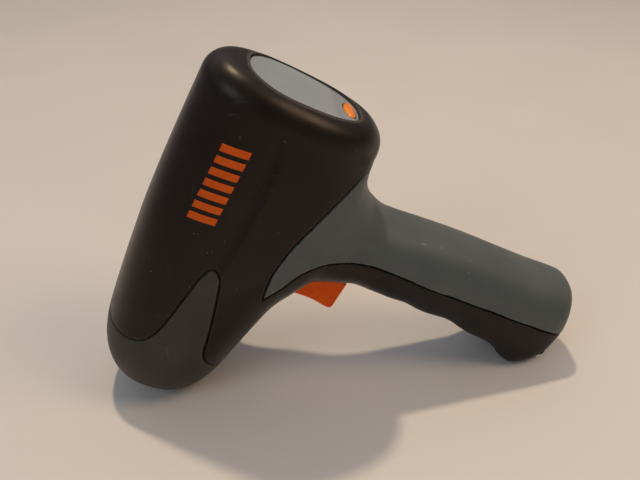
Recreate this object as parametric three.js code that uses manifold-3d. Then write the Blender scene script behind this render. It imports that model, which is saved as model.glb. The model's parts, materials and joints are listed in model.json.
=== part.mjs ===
// A hand-held radar speed gun: a barrel with a display at the rear and a nose cap over the antenna,
// standing on a pistol grip that holds two C cells, with a trigger, a power button and a battery door.
//
// Every piece is drawn upright in the gun's own frame, in millimetres: +X runs forward from the flat
// rear face to the nose, +Y to the gun's left, +Z up from the butt to the crown of the barrel, and
// Y = 0 is the plane of symmetry. The outermost group then lays the gun down on its nose and its toe.

import * as THREE from 'three';
import { mergeVertices } from 'three/addons/utils/BufferGeometryUtils.js';
import Module from 'manifold-3d';

const wasm = await Module();
wasm.setup();

// ---- driving dimensions -------------------------------------------------------------------------

const LENGTH = 155.8;           // flat rear face to the tip of the nose
const HEIGHT = 206.5;           // crown of the barrel to the butt of the grip
const REST_TILT = 61.7;         // degrees between the barrel and the table as the gun lies
const REST_FLAT = 0.35;         // depth of the flats worn where nose and toe touch the table

const REAR_RADIUS = 10.2;       // rounding between the rear face and the barrel
const DOME_START = 123.6;       // where the nose begins to close
const DOME_POWER = 2.75;        // bluntness of the nose
const BARREL_POWER = 2.32;      // squareness of the barrel's section
const GRIP_POWER = 2.4;         // squareness of the grip's section
const GRIP_TOP = 40;            // depth below the crown at which the grip's own loft begins

const GAP = 0.3;                // clearance between neighbouring pieces
const PANEL = 1.6;              // thickness of the soft grip panels
const STRAP = 2.0;              // thickness of the rubber strap down the front of the grip
const BARREL_WALL = 3.4;
const GRIP_WALL = 3.6;
const NOSE_WALL = 3.0;

const CELL_RADIUS = 13.1;       // C cell
const CELL_LENGTH = 50;
const CELL_X = 52.2;            // axis of the battery stack
const CELL_TOP = -96.9;

const WINDOW_Z = -39.3;         // centre of the oval display window
const WINDOW_HALF_HEIGHT = 23.7;
const WINDOW_HALF_WIDTH = 18.4;
const WINDOW_FLARE = 1.5;       // the oval is this much wider at its top than at its middle
const WINDOW_DEPTH = 0.8;       // how far the window sits in from the rear face
const BUTTON_Z = -59.2;

const TRIGGER_PIVOT = [82, -65];   // x, z
const TRIGGER_HALF = 5.2;
const DOOR_PIVOT = [65, -201.6]; // x, z
const DOOR_BEAD = 2.3;          // radius of the round edge along which the door hinges

// For each axis a prism can run along: the directions of its outline's two axes, then its own.
const ALONG = {
  x: [[0, 1, 0], [0, 0, 1], [1, 0, 0]],
  y: [[1, 0, 0], [0, 0, 1], [0, -1, 0]],
  z: [[1, 0, 0], [0, 1, 0], [0, 0, 1]],
};

// ---- solids -------------------------------------------------------------------------------------

function solidOf(geometry) {
  const plain = geometry.clone();
  plain.deleteAttribute('normal');
  plain.deleteAttribute('uv');
  const merged = mergeVertices(plain, 1e-4);
  const mesh = new wasm.Mesh({
    numProp: 3,
    vertProperties: new Float32Array(merged.attributes.position.array),
    triVerts: new Uint32Array(merged.index.array),
  });
  return new wasm.Manifold(mesh);
}

function geometryOf(solid) {
  const mesh = solid.getMesh();
  const geometry = new THREE.BufferGeometry();
  geometry.setAttribute('position', new THREE.BufferAttribute(mesh.vertProperties, 3));
  geometry.setIndex(new THREE.BufferAttribute(mesh.triVerts, 1));
  geometry.computeVertexNormals();
  return geometry;
}

// An outline in the plane across `axis` becomes a prism from `low` to `high` along it. The outline is
// in (y, z) for x, in (x, z) for y and in (x, y) for z.
function prism(axis, outline, low, high, bevel = 0) {
  const shape = outline instanceof THREE.Shape ? outline : new THREE.Shape(outline);
  const geometry = new THREE.ExtrudeGeometry(shape, {
    depth: high - low - 2 * bevel,
    curveSegments: 6,
    bevelEnabled: bevel > 0,
    bevelThickness: bevel,
    bevelSize: bevel,
    bevelOffset: -bevel,
    bevelSegments: 1,
  });
  const [u, v, w] = ALONG[axis].map((direction) => new THREE.Vector3(...direction));
  const start = axis === 'y' ? -(high - bevel) : low + bevel;
  geometry.translate(0, 0, start);
  geometry.applyMatrix4(new THREE.Matrix4().makeBasis(u, v, w));
  return solidOf(geometry);
}

function circle(u, v, radius, count = 20) {
  const points = [];
  for (let i = 0; i < count; i += 1) {
    const angle = (i / count) * 2 * Math.PI;
    points.push(new THREE.Vector2(u + radius * Math.cos(angle), v + radius * Math.sin(angle)));
  }
  return points;
}

function rod(axis, u, v, low, high, radius, count = 20) {
  return prism(axis, circle(u, v, radius, count), low, high);
}

function box(x, y, z) {
  const geometry = new THREE.BoxGeometry(x[1] - x[0], y[1] - y[0], z[1] - z[0]);
  geometry.translate((x[0] + x[1]) / 2, (y[0] + y[1]) / 2, (z[0] + z[1]) / 2);
  return solidOf(geometry);
}

function roundedBox(axis, u, v, low, high, radius) {
  const shape = new THREE.Shape();
  shape.moveTo(u[0] + radius, v[0]);
  shape.lineTo(u[1] - radius, v[0]);
  shape.absarc(u[1] - radius, v[0] + radius, radius, -Math.PI / 2, 0, false);
  shape.absarc(u[1] - radius, v[1] - radius, radius, 0, Math.PI / 2, false);
  shape.absarc(u[0] + radius, v[1] - radius, radius, Math.PI / 2, Math.PI, false);
  shape.absarc(u[0] + radius, v[0] + radius, radius, Math.PI, 1.5 * Math.PI, false);
  return prism(axis, shape, low, high);
}

function joined(solids) {
  return solids.reduce((whole, next) => whole.add(next));
}

function mirrored(make) {
  return [make(1), make(-1)];
}

// A body of revolution about a line along `axis`: the profile is a list of [radius, distance].
function turned(axis, u, v, profile, count = 32) {
  const points = profile.map(([radius, along]) => new THREE.Vector2(radius, along));
  const geometry = new THREE.LatheGeometry(points, count);
  const [a, b, c] = ALONG[axis].map((direction) => new THREE.Vector3(...direction));
  const along = axis === 'y' ? c.clone().negate() : c;
  const across = axis === 'y' ? b.clone().negate() : b;
  geometry.applyMatrix4(new THREE.Matrix4().makeBasis(across.clone().negate(), along, a));
  const shift = new THREE.Vector3().addScaledVector(a, u).addScaledVector(b, v);
  geometry.translate(shift.x, shift.y, shift.z);
  return facingOut(geometry);
}

function facingOut(geometry) {
  const solid = solidOf(geometry);
  if (solid.volume() > 0) {
    return solid;
  }
  const index = geometry.index.array;
  for (let i = 0; i < index.length; i += 3) {
    const swap = index[i];
    index[i] = index[i + 1];
    index[i + 1] = swap;
  }
  return solidOf(geometry);
}

// ---- curves and lofts ---------------------------------------------------------------------------

// A smooth function through [at, value] pairs that never overshoots between them.
function smoothThrough(pairs) {
  const slopes = pairs.slice(1).map((pair, i) => (pair[1] - pairs[i][1]) / (pair[0] - pairs[i][0]));
  const tangents = pairs.map((_, i) => {
    const before = slopes[Math.max(0, i - 1)];
    const after = slopes[Math.min(slopes.length - 1, i)];
    return before * after <= 0 ? 0 : (2 * before * after) / (before + after);
  });
  return (at) => {
    const direction = Math.sign(pairs[1][0] - pairs[0][0]);
    const passed = pairs.filter((pair) => (at - pair[0]) * direction >= 0).length;
    const i = Math.min(pairs.length - 2, Math.max(0, passed - 1));
    const width = pairs[i + 1][0] - pairs[i][0];
    const t = Math.min(1, Math.max(0, (at - pairs[i][0]) / width));
    const rise = pairs[i + 1][1] - pairs[i][1];
    const [leave, arrive] = [tangents[i] * width - rise, tangents[i + 1] * width - rise];
    return pairs[i][1] + t * rise + t * (1 - t) * ((1 - t) * leave - t * arrive);
  };
}

function signedPower(value, power) {
  return Math.sign(value) * Math.abs(value) ** (2 / power);
}

// An oval of the given squareness. Its two ends along u may differ in it.
function oval(u, v, halfU, halfV, squareness, count, squarenessBehind = squareness) {
  const points = [];
  for (let i = 0; i < count; i += 1) {
    const angle = (i / count) * 2 * Math.PI;
    const power = Math.cos(angle) < 0 ? squarenessBehind : squareness;
    const [across, up] = [signedPower(Math.cos(angle), power), signedPower(Math.sin(angle), power)];
    points.push([u + halfU * across, v + halfV * up]);
  }
  return points;
}

// Rings of equally many points become one closed skin, with a fan over each end.
function loft(rings) {
  const count = rings[0].length;
  const centre = (ring) => ring.reduce((sum, p) => sum.add(p), new THREE.Vector3()).divideScalar(count);
  const points = [...rings.flat(), centre(rings[0]), centre(rings[rings.length - 1])];
  const index = [];
  for (let r = 0; r + 1 < rings.length; r += 1) {
    for (let i = 0; i < count; i += 1) {
      const next = (i + 1) % count;
      const [a, b, c, d] = [r * count + i, r * count + next, (r + 1) * count + next, (r + 1) * count + i];
      index.push(a, b, c, a, c, d);
    }
  }
  const [first, last, lastRing] = [points.length - 2, points.length - 1, (rings.length - 1) * count];
  for (let i = 0; i < count; i += 1) {
    const next = (i + 1) % count;
    index.push(first, next, i, last, lastRing + i, lastRing + next);
  }
  const geometry = new THREE.BufferGeometry();
  geometry.setAttribute('position', new THREE.Float32BufferAttribute(points.flatMap((p) => p.toArray()), 3));
  geometry.setIndex(index);
  return facingOut(geometry);
}

// ---- the outer form -----------------------------------------------------------------------------

const barrelTop = smoothThrough([
  [0, 0], [40, -0.3], [67, -1], [90, -2.6], [108, -4.2], [128, -6.3], [142, -7.8], [LENGTH, -9],
]);
const barrelBottom = smoothThrough([
  [0, -76.5], [40, -76.2], [66, -74.9], [93, -71.7], [112, -67.9], [126, -65.2], [140, -62.8],
  [LENGTH, -60.8],
]);
const barrelHalf = (x) => 25.9 + 3.8 * (x / LENGTH) + 2 * (x / LENGTH) ** 2;

const gripFront = smoothThrough([
  [-40, 110], [-59, 98.5], [-71, 89.5], [-79, 77.7], [-89, 73.4], [-99, 70.4], [-118, 70.9],
  [-140, 71.2], [-160, 71.8], [-172, 71.9], [-179, 73.6], [-184, 76.4], [-189, 77.6], [-193, 75.9],
  [-197, 73.2], [-201, 68.5], [-204.5, 62.5], [-HEIGHT, 58],
]);
const gripRear = smoothThrough([
  [-40, 1], [-59, 7.9], [-71, 11.8], [-79, 23.2], [-89, 31.8], [-99, 34.6], [-118, 33], [-140, 31.4],
  [-160, 31], [-174, 30.7], [-184, 29.9], [-190, 29.4], [-194, 29.3], [-197, 30.4], [-199.5, 34],
  [-202, 39.6], [-204, 44.6], [-HEIGHT, 51.5],
]);
const gripHalf = smoothThrough([
  [-40, 28.4], [-59, 28.1], [-71, 25.1], [-79, 22.3], [-89, 20.1], [-99, 19.2], [-140, 19], [-172, 19.7],
  [-186, 19.8], [-193, 19.4], [-198, 18.2], [-201.5, 16.2], [-204, 13.4], [-205.6, 10], [-HEIGHT, 6],
]);

// The grip's section is nearly round where the hand holds it, and its front is squarer at the toe.
const frontPower = smoothThrough([[-40, GRIP_POWER], [-150, GRIP_POWER], [-184, 4.6], [-HEIGHT, 4.6]]);

// The barrel, shrunk evenly by `inset`: a rounded rear edge, a long middle and a blunt nose.
function barrel(inset, count = 28) {
  const rings = [];
  const radius = REAR_RADIUS - inset;
  const ringAt = (x, shrink, scale) => {
    const top = barrelTop(x) - inset - shrink;
    const bottom = barrelBottom(x) + inset + shrink;
    const half = barrelHalf(x) - inset - shrink;
    const tall = (top - bottom) / 2;
    const outline = oval(0, bottom + tall, half * scale, tall * scale, BARREL_POWER, count);
    rings.push(outline.map(([y, z]) => new THREE.Vector3(x, y, z)));
  };
  const rearSteps = 3;
  for (let i = 0; i < rearSteps; i += 1) {
    const angle = (i / rearSteps) * (Math.PI / 2);
    ringAt(inset + radius * (1 - Math.cos(angle)), radius * (1 - Math.sin(angle)), 1);
  }
  const middleSteps = 4;
  for (let i = 0; i <= middleSteps; i += 1) {
    ringAt(REAR_RADIUS + (i / middleSteps) * (DOME_START - REAR_RADIUS), 0, 1);
  }
  const domeSteps = 5;
  const depth = LENGTH - inset - DOME_START;
  for (let i = 1; i < domeSteps; i += 1) {
    const angle = (i / domeSteps) * (Math.PI / 2);
    ringAt(DOME_START + depth * Math.sin(angle) ** (2 / DOME_POWER), 0, Math.cos(angle) ** (2 / DOME_POWER));
  }
  ringAt(LENGTH - inset, 0, 0.1);
  return loft(rings);
}

// The grip with its flared top, which makes the throat behind it and the arch in front of it.
function grip(inset, count = 20) {
  const upper = [40, 56, 65, 71, 75, 79, 84, 90, 99, 118, 140, 160];
  const depths = [...upper, 172, 181, 188, 193, 197.5, 201, 203.6, 205.4, HEIGHT];
  const rings = depths.map((depth) => {
    const [front, rear] = [gripFront(-depth) - inset, gripRear(-depth) + inset];
    const [half, power] = [gripHalf(-depth) - inset, frontPower(-depth)];
    const z = -GRIP_TOP - (depth - GRIP_TOP) * ((HEIGHT - GRIP_TOP - inset) / (HEIGHT - GRIP_TOP));
    const outline = oval((front + rear) / 2, 0, (front - rear) / 2, half, power, count, GRIP_POWER);
    return outline.map(([x, y]) => new THREE.Vector3(x, y, z));
  });
  return loft(rings);
}

const form = (inset) => barrel(inset).add(grip(inset));

// ---- seams --------------------------------------------------------------------------------------

function splineOutline(...runs) {
  const points = [];
  runs.forEach((run) => {
    if (run.length === 2) {
      points.push(...run.map(([x, z]) => new THREE.Vector2(x, z)));
      return;
    }
    const curve = new THREE.SplineCurve(run.map(([x, z]) => new THREE.Vector2(x, z)));
    points.push(...curve.getPoints(Math.round((run.length - 1) * 1.5)));
  });
  return points;
}

// Moves a closed outline out by `distance`, corner by corner.
function grown(points, distance) {
  const area = THREE.ShapeUtils.area(points);
  return points.map((point, i) => {
    const before = points[(i + points.length - 1) % points.length];
    const after = points[(i + 1) % points.length];
    const [u, v] = [point.clone().sub(before).normalize(), after.clone().sub(point).normalize()];
    const normal = new THREE.Vector2(u.y + v.y, -u.x - v.x).multiplyScalar(Math.sign(area));
    const spread = Math.max(0.35, normal.length() / 2);
    return point.clone().addScaledVector(normal.normalize(), distance / spread);
  });
}

// The nose cap: it meets the barrel across the top, then runs back along each side to a prong.
const noseOutline = splineOutline(
  [[128, 20], [127.8, -7]],
  [[126, -13], [124.4, -18.6], [118.7, -24], [108.7, -26.6], [92.3, -29.2], [80.7, -31.2], [76.3, -33],
    [75.2, -35.2], [77.4, -37.9], [84.3, -40.1], [95.9, -43.2], [110.3, -46.5], [118.2, -48], [123.2, -51.4],
    [126.6, -57], [128.8, -64]],
  [[129.8, -90], [LENGTH + 20, -90]],
  [[LENGTH + 20, 20], [LENGTH + 19, 20]],
);

// The soft panel: a leaf whose tip points forward over the trigger and whose root wraps the grip.
const panelOutline = splineOutline(
  [[83.4, -59.6], [70.7, -57.2], [56, -57.8], [41.8, -61.5], [31.7, -65.2], [23.9, -68.8], [15.6, -73.4],
    [4, -82]],
  [[-10, -95], [-10, -240]],
  [[51, -240], [51, -197]],
  [[51.3, -180], [52.5, -143.4], [53, -126], [52.5, -111], [52.5, -100.4], [53.8, -89], [55.6, -83],
    [59.3, -74.9], [65.6, -68.3], [74.8, -64.4]],
);

const strapOutline = [[38, -103], [38, -240], [110, -240], [110, -103]].map((p) => new THREE.Vector2(...p));

function across(outline, distance = 0) {
  return prism('y', distance ? grown(outline, distance) : outline, -60, 60);
}

// ---- openings cut through the casing ------------------------------------------------------------

function windowOutline(margin, power = 2.6, count = 36) {
  const points = [];
  for (let i = 0; i < count; i += 1) {
    const angle = (i / count) * 2 * Math.PI;
    const up = signedPower(Math.sin(angle), power);
    const half = WINDOW_HALF_WIDTH + margin + WINDOW_FLARE * up;
    const z = WINDOW_Z + (WINDOW_HALF_HEIGHT + margin) * up;
    points.push(new THREE.Vector2(half * signedPower(Math.cos(angle), power), z));
  }
  return points;
}

function buttonOutline(margin, count = 24) {
  return oval(0, BUTTON_Z, 7 + margin, 2.6 + margin, 2.1, count).map((p) => new THREE.Vector2(...p));
}

// The door closes an opening in the butt as wide as a cell: round at the heel, square at the hinge.
function doorHole(margin, top = -192) {
  const [rear, front, half, radius] = [38 - margin, DOOR_PIVOT[0] + margin, 14.2 + margin, 12 + margin];
  const shape = new THREE.Shape();
  shape.moveTo(front, -half);
  shape.lineTo(front, half);
  shape.lineTo(rear + radius, half);
  shape.absarc(rear + radius, half - radius, radius, Math.PI / 2, Math.PI, false);
  shape.absarc(rear + radius, radius - half, radius, Math.PI, 1.5 * Math.PI, false);
  return prism('z', shape, -240, top).add(rod('y', ...DOOR_PIVOT, -half, half, DOOR_BEAD + margin, 18));
}

// Two lugs reach down from the solid toe to hold the door's pin. Their room takes the whole bead away.
function hingeLug(side, margin = 0) {
  const [x, z] = DOOR_PIVOT;
  const [near, far] = [(5.6 - margin) * side, (7.8 + margin) * side].sort((a, b) => a - b);
  const corners = [[0.6, -1.8], [2, 0], [6.5, 5], [3, 7.5], [-1, 1.5]];
  const arm = grown(corners.map(([u, v]) => new THREE.Vector2(x + u, z + v)), margin);
  return rod('y', x, z, near, far, 2 + 2 * margin, 14).add(prism('y', arm, near, far));
}

const triggerSlot = box([60, 92.6], [-TRIGGER_HALF - 0.7, TRIGGER_HALF + 0.7], [-101.5, -64]);

// ---- the casing ---------------------------------------------------------------------------------

const outer = form(0);
const underPanel = form(PANEL + GAP);
const underStrap = form(STRAP + GAP);
const hollow = barrel(BARREL_WALL).add(grip(GRIP_WALL));
const panelSkin = outer.subtract(form(PANEL));
const strapSkin = outer.subtract(form(STRAP));
const lugRoom = joined(mirrored((side) => hingeLug(side, GAP)));
const hingeBore = rod('y', ...DOOR_PIVOT, -15, 15, 1.2, 12);

// The skin beside the door's bead swings through this room as the door opens.
const swingRoom = rod('y', ...DOOR_PIVOT, -15, 15, 5, 20)
  .intersect(box([DOOR_PIVOT[0], DOOR_PIVOT[0] + 6], [-16, 16], [DOOR_PIVOT[1] - 6, DOOR_PIVOT[1] - 0.2]));

// x, z and the depth of the screw's head below the side of each housing screw.
const SCREWS = [
  [24, -12, 2], [24, -64, 2], [70, -11, 2], [112, -16, 2], [112, -58, 2], [41.5, -84, 7], [69.8, -189.6, 9],
];

function sideOf(x, z) {
  const centre = (barrelTop(x) + barrelBottom(x)) / 2;
  const reach = Math.abs(z - centre) / ((barrelTop(x) - barrelBottom(x)) / 2);
  const onBarrel = reach < 1 ? barrelHalf(x) * (1 - reach ** BARREL_POWER) ** (1 / BARREL_POWER) : 0;
  const middle = (gripFront(z) + gripRear(z)) / 2;
  const run = Math.abs(x - middle) / ((gripFront(z) - gripRear(z)) / 2);
  const power = x > middle ? frontPower(z) : GRIP_POWER;
  const onGrip = z < -GRIP_TOP && run < 1 ? gripHalf(z) * (1 - run ** power) ** (1 / power) : 0;
  return Math.max(onBarrel, onGrip);
}

function bossesFor(side) {
  const reach = (near) => (side > 0 ? [near, 30] : [-30, -near]);
  const radius = side > 0 ? 3.2 : 4.2;
  const posts = SCREWS.map(([x, z]) => rod('y', x, z, ...reach(0.15), radius, 12));
  const pivotPost = rod('y', ...TRIGGER_PIVOT, ...reach(TRIGGER_HALF + 1.2), 3.6, 14);
  const toe = box([66.7, 80], [-11, 11], [-200, -186]).intersect(underStrap);
  return joined([...posts, pivotPost]).intersect(underPanel).add(toe);
}

function boresFor(side) {
  const cuts = SCREWS.map(([x, z, depth]) => {
    const head = -(sideOf(x, z) - depth);
    const clearance = rod('y', x, z, head, 0, 1.9, 10).add(rod('y', x, z, -40, head, 3.1, 12));
    return side > 0 ? rod('y', x, z, 0, 8, 1.5, 10) : clearance;
  });
  const [x, z] = TRIGGER_PIVOT;
  const reach = TRIGGER_HALF + 7;
  const pivotBore = rod('y', x, z, side > 0 ? 0 : -reach, side > 0 ? reach : 0, 1.8, 12);
  return joined([...cuts, pivotBore]);
}

function bodyShell(side) {
  const half = box([-30, 200], side > 0 ? [0.15, 60] : [-60, -0.15], [-250, 40]);
  const forPanel = across(panelOutline, GAP).subtract(underPanel);
  const forStrap = across(strapOutline, GAP).subtract(underStrap);
  return outer
    .subtract(hollow)
    .add(bossesFor(side))
    .subtract(forPanel)
    .subtract(forStrap)
    .subtract(across(noseOutline, GAP))
    .intersect(half)
    .subtract(prism('x', windowOutline(GAP), -5, REAR_RADIUS))
    .subtract(triggerSlot)
    .subtract(doorHole(GAP))
    .add(hingeLug(side).intersect(form(GAP)))
    .subtract(hingeBore)
    .subtract(boresFor(side));
}

function gripPanel(side) {
  const half = box([-30, 200], side > 0 ? [0.15, 60] : [-60, -0.15], [-250, 40]);
  return panelSkin.intersect(across(panelOutline)).intersect(half).subtract(doorHole(GAP));
}

function frontStrap() {
  return strapSkin
    .intersect(across(strapOutline))
    .subtract(across(panelOutline, GAP))
    .subtract(doorHole(GAP))
    .subtract(lugRoom)
    .subtract(swingRoom);
}

function noseCap() {
  return outer.subtract(barrel(NOSE_WALL)).intersect(across(noseOutline));
}

// ---- the display --------------------------------------------------------------------------------

function displayWindow() {
  return prism('x', windowOutline(0), WINDOW_DEPTH, 3.4).subtract(prism('x', buttonOutline(0.4), -5, 10));
}

function displayBezel() {
  return prism('x', windowOutline(0), 3.7, 6)
    .subtract(prism('x', windowOutline(-2), 0, 10))
    .subtract(prism('x', buttonOutline(1.5), 0, 10));
}

function powerButton() {
  const cap = prism('x', buttonOutline(0), 0, 3.7, 0.4);
  const flange = prism('x', buttonOutline(0.9), 3.7, 4.7);
  return joined([cap, flange, rod('x', 0, BUTTON_Z, 4.7, 8, 1.6, 12)]);
}

const lcdPanel = () => box([6.3, 8.4], [-15, 15], [-50, -20]);
const backlight = () => box([8.7, 11.4], [-14.6, 14.6], [-50, -20.4]);
const displayBoard = () => prism('x', windowOutline(1), 12.9, 14.5);

function powerSwitch() {
  const base = box([10, 12.6], [-3, 3], [BUTTON_Z - 3, BUTTON_Z + 3]);
  return base.add(rod('x', 0, BUTTON_Z, 9.5, 10.5, 1.6, 12));
}

// ---- the radar ----------------------------------------------------------------------------------

const RADAR_Z = -36.6;

function antennaHorn() {
  const outside = [[0, 97], [9, 97], [9, 103], [24, 126]];
  const inside = [[22.4, 126], [7.4, 103], [7.4, 98.6], [0, 98.6]];
  return turned('x', 0, RADAR_Z, [...outside, ...inside]);
}

function antennaLens() {
  return turned('x', 0, RADAR_Z, [[0, 129], [21.5, 129], [21.5, 131], [17, 134], [10, 136.2], [0, 137.2]]);
}

function noseRetainer() {
  const ring = rod('x', 0, RADAR_Z, 126.3, 128.6, 24);
  return ring.subtract(rod('x', 0, RADAR_Z, 120, 130, 20.5));
}

const transceiver = () => roundedBox('x', [-14, 14], [RADAR_Z - 14, RADAR_Z + 14], 82, 96.7, 2);
const mainBoard = () => roundedBox('y', [20, 78], [-56, -18], -9.6, -8, 2);

// Chips and capacitors stand on the main board's left face: x, z, length, width and height of each.
const BOARD_PARTS = [
  [28, -30, 9, 9, 1.6], [44, -27, 12, 12, 2.2], [60, -30, 8, 6, 1.8], [34, -46, 7, 11, 3.5],
  [52, -46, 10, 6, 1.4],
];

function boardChip([x, z, length, width, height]) {
  const foot = -7.7;
  return box([x - length / 2, x + length / 2], [foot, foot + height], [z - width / 2, z + width / 2]);
}

function buzzer() {
  return turned('y', 68, -47, [[0, -7.7], [5.6, -7.7], [5.6, -2.2], [1.2, -2.2], [1.2, -2.9], [0, -2.9]], 24);
}

// ---- the trigger --------------------------------------------------------------------------------

function trigger() {
  const [x, z] = TRIGGER_PIVOT;
  const blade = new THREE.Shape();
  blade.moveTo(74, -98.6);
  blade.lineTo(87.4, -98.6);
  blade.quadraticCurveTo(89.6, -98.4, 89.4, -95.8);
  blade.quadraticCurveTo(87.6, -85, 88.4, -76);
  blade.lineTo(87.2, -69.4);
  blade.lineTo(77, -69.4);
  blade.quadraticCurveTo(74, -84, 73.2, -97.8);
  const hub = rod('y', x, z, -2.9, 2.9, 4.4).add(box([78.4, 86.6], [-2.9, 2.9], [-71, z]));
  return prism('y', blade, -TRIGGER_HALF, TRIGGER_HALF, 0.9)
    .add(hub)
    .subtract(rod('y', x, z, -10, 10, 1.8, 14));
}

const triggerPin = () => rod('y', ...TRIGGER_PIVOT, -TRIGGER_HALF - 6, TRIGGER_HALF + 6, 1.5, 14);

// A torsion spring about the pin: one leg lies along the frame, the other stands behind the blade.
function triggerSpring() {
  const [x, z] = TRIGGER_PIVOT;
  const [radius, pitch, turns, start] = [2.9, 0.85, 2.25, 3.75];
  const points = [new THREE.Vector3(x + 7.5, start, z + radius)];
  for (let angle = 0; angle <= turns * 2 * Math.PI; angle += Math.PI / 6) {
    const y = start + (angle / (2 * Math.PI)) * pitch;
    points.push(new THREE.Vector3(x - radius * Math.sin(angle), y, z + radius * Math.cos(angle)));
  }
  const curve = new THREE.CatmullRomCurve3(points);
  const section = new THREE.Shape(circle(0, 0, 0.35, 5));
  return solidOf(new THREE.ExtrudeGeometry(section, { steps: 32, bevelEnabled: false, extrudePath: curve }));
}

function triggerSwitch() {
  return box([61.5, 68], [-3, 3], [-86, -73]).add(box([67.5, 69], [-1.2, 1.2], [-80.6, -78.4]));
}

const switchLever = () => box([69.4, 70], [-2, 2], [-84.8, -73.6]);

// ---- the battery bay ----------------------------------------------------------------------------

function batteryCell(order) {
  const top = CELL_TOP - (order - 1) * (CELL_LENGTH + GAP);
  const bottom = top - CELL_LENGTH;
  const [shoulder, nub] = [top - 1.6, 3.2];
  const can = [[0, bottom], [CELL_RADIUS, bottom], [CELL_RADIUS, shoulder]];
  return turned('z', CELL_X, 0, [...can, [nub, shoulder], [nub, top], [0, top]], 28);
}

function batteryTube() {
  const [low, high] = [-183, -107];
  return rod('z', CELL_X, 0, low, high, CELL_RADIUS + 1, 28)
    .subtract(rod('z', CELL_X, 0, low - 1, high + 1, CELL_RADIUS + GAP, 28));
}

const contactCarrier = () => rod('z', CELL_X, 0, CELL_TOP + 3, CELL_TOP + 5, 12.4, 24);
const topContact = () => rod('z', CELL_X, 0, CELL_TOP + 0.35, CELL_TOP + 2.7, 5, 16);

function batteryDoor() {
  const inner = form(2.4).subtract(rod('y', ...DOOR_PIVOT, -20, 20, DOOR_BEAD, 18));
  return outer
    .subtract(inner)
    .intersect(doorHole(0, CELL_TOP - 2 * CELL_LENGTH - 3 * GAP))
    .add(snapTab())
    .subtract(lugRoom)
    .subtract(hingeBore)
    .subtract(thumbGroove);
}

// A springy tab stands up inside the door's free edge, and a groove outside takes a thumbnail.
const snapTab = () => box([39.6, 41], [-4, 4], [-204, -198]).intersect(form(1));
const thumbGroove = rod('y', 41.2, -204.3, -7, 7, 2.2, 14);

const hingePin = () => rod('y', ...DOOR_PIVOT, -9.4, 9.4, 0.9, 12);
const bottomContact = () => rod('z', CELL_X + 2.8, 0, -202.2, -201.2, 4.6, 20);

// The cone spring on the door pushes the cells up against the top contact.
function cellSpring() {
  const [low, high, turns] = [-200.7, -197.8, 2.5];
  const points = [];
  for (let t = 0; t <= 1.0001; t += 1 / 24) {
    const angle = t * turns * 2 * Math.PI;
    const radius = 4.1 - 1.5 * t;
    const x = CELL_X + 2.8 + radius * Math.cos(angle);
    points.push(new THREE.Vector3(x, radius * Math.sin(angle), low + (high - low) * t));
  }
  const section = new THREE.Shape(circle(0, 0, 0.4, 5));
  const curve = new THREE.CatmullRomCurve3(points);
  return solidOf(new THREE.ExtrudeGeometry(section, { steps: 30, bevelEnabled: false, extrudePath: curve }));
}

// ---- fasteners ----------------------------------------------------------------------------------

function housingScrew([x, z, depth]) {
  const head = -(sideOf(x, z) - depth);
  const shank = rod('y', x, z, head - 0.05, 7, 1.15, 8);
  const cap = rod('y', x, z, head - 2, head - 0.02, 2.7, 10);
  const cross = box([x - 1.7, x + 1.7], [head - 2.5, head - 1.2], [z - 0.4, z + 0.4])
    .add(box([x - 0.4, x + 0.4], [head - 2.5, head - 1.2], [z - 1.7, z + 1.7]));
  return shank.add(cap).subtract(cross);
}

// ---- materials and assembly ---------------------------------------------------------------------

const finish = (color, roughness, metalness = 0) => ({ color, roughness, metalness });
const FINISHES = {
  casing: finish(0x221c1a, 0.42),
  nose: finish(0x3a3634, 0.5),
  panel: finish(0x4d504c, 0.6),
  rubber: finish(0x1b1817, 0.75),
  signal: finish(0xc8500f, 0.45),
  button: finish(0xf08a22, 0.4),
  window: finish(0xa9aaa6, 0.12),
  plastic: finish(0x2c2c2e, 0.6),
  board: finish(0x1f5a35, 0.5),
  metal: finish(0xb8b8b4, 0.3, 0.9),
  cell: finish(0x8a6a2c, 0.4, 0.4),
  display: finish(0x9aa08c, 0.3),
  lens: finish(0xe8e6dc, 0.5),
};

const gun = new THREE.Group();

// What would reach below the table is worn away, which leaves a small flat under nose and toe.
const tilt = THREE.MathUtils.degToRad(REST_TILT);
const up = new THREE.Vector3(-Math.sin(tilt), 0, Math.cos(tilt));

function lowestOf(solid, keep) {
  const points = solid.getMesh().vertProperties;
  let low = Infinity;
  for (let i = 0; i < points.length; i += 3) {
    const point = new THREE.Vector3(points[i], points[i + 1], points[i + 2]);
    low = keep(point) ? Math.min(low, point.dot(up)) : low;
  }
  return low;
}

const noseLow = lowestOf(outer, (point) => point.z > -100);
const toeLow = lowestOf(outer, (point) => point.z < -100);
const tableHeight = Math.max(noseLow, toeLow) + REST_FLAT;

function aboveTable(solid) {
  const slab = new THREE.BoxGeometry(600, 200, 200);
  slab.translate(0, 0, tableHeight - 100);
  slab.applyMatrix4(new THREE.Matrix4().makeRotationY(-tilt));
  return solid.subtract(solidOf(slab));
}

function add(name, solid, finishName) {
  const material = new THREE.MeshStandardMaterial(FINISHES[finishName]);
  const mesh = new THREE.Mesh(geometryOf(solid), material);
  mesh.name = name;
  gun.add(mesh);
}

add('body_shell_left', bodyShell(1), 'casing');
add('body_shell_right', bodyShell(-1), 'casing');
add('nose_cap', aboveTable(noseCap()), 'nose');
add('grip_panel_left', gripPanel(1), 'panel');
add('grip_panel_right', gripPanel(-1), 'panel');
add('front_strap', aboveTable(frontStrap()), 'rubber');
SCREWS.forEach((screw, i) => add(`housing_screw_${i + 1}`, housingScrew(screw), 'metal'));

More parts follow.
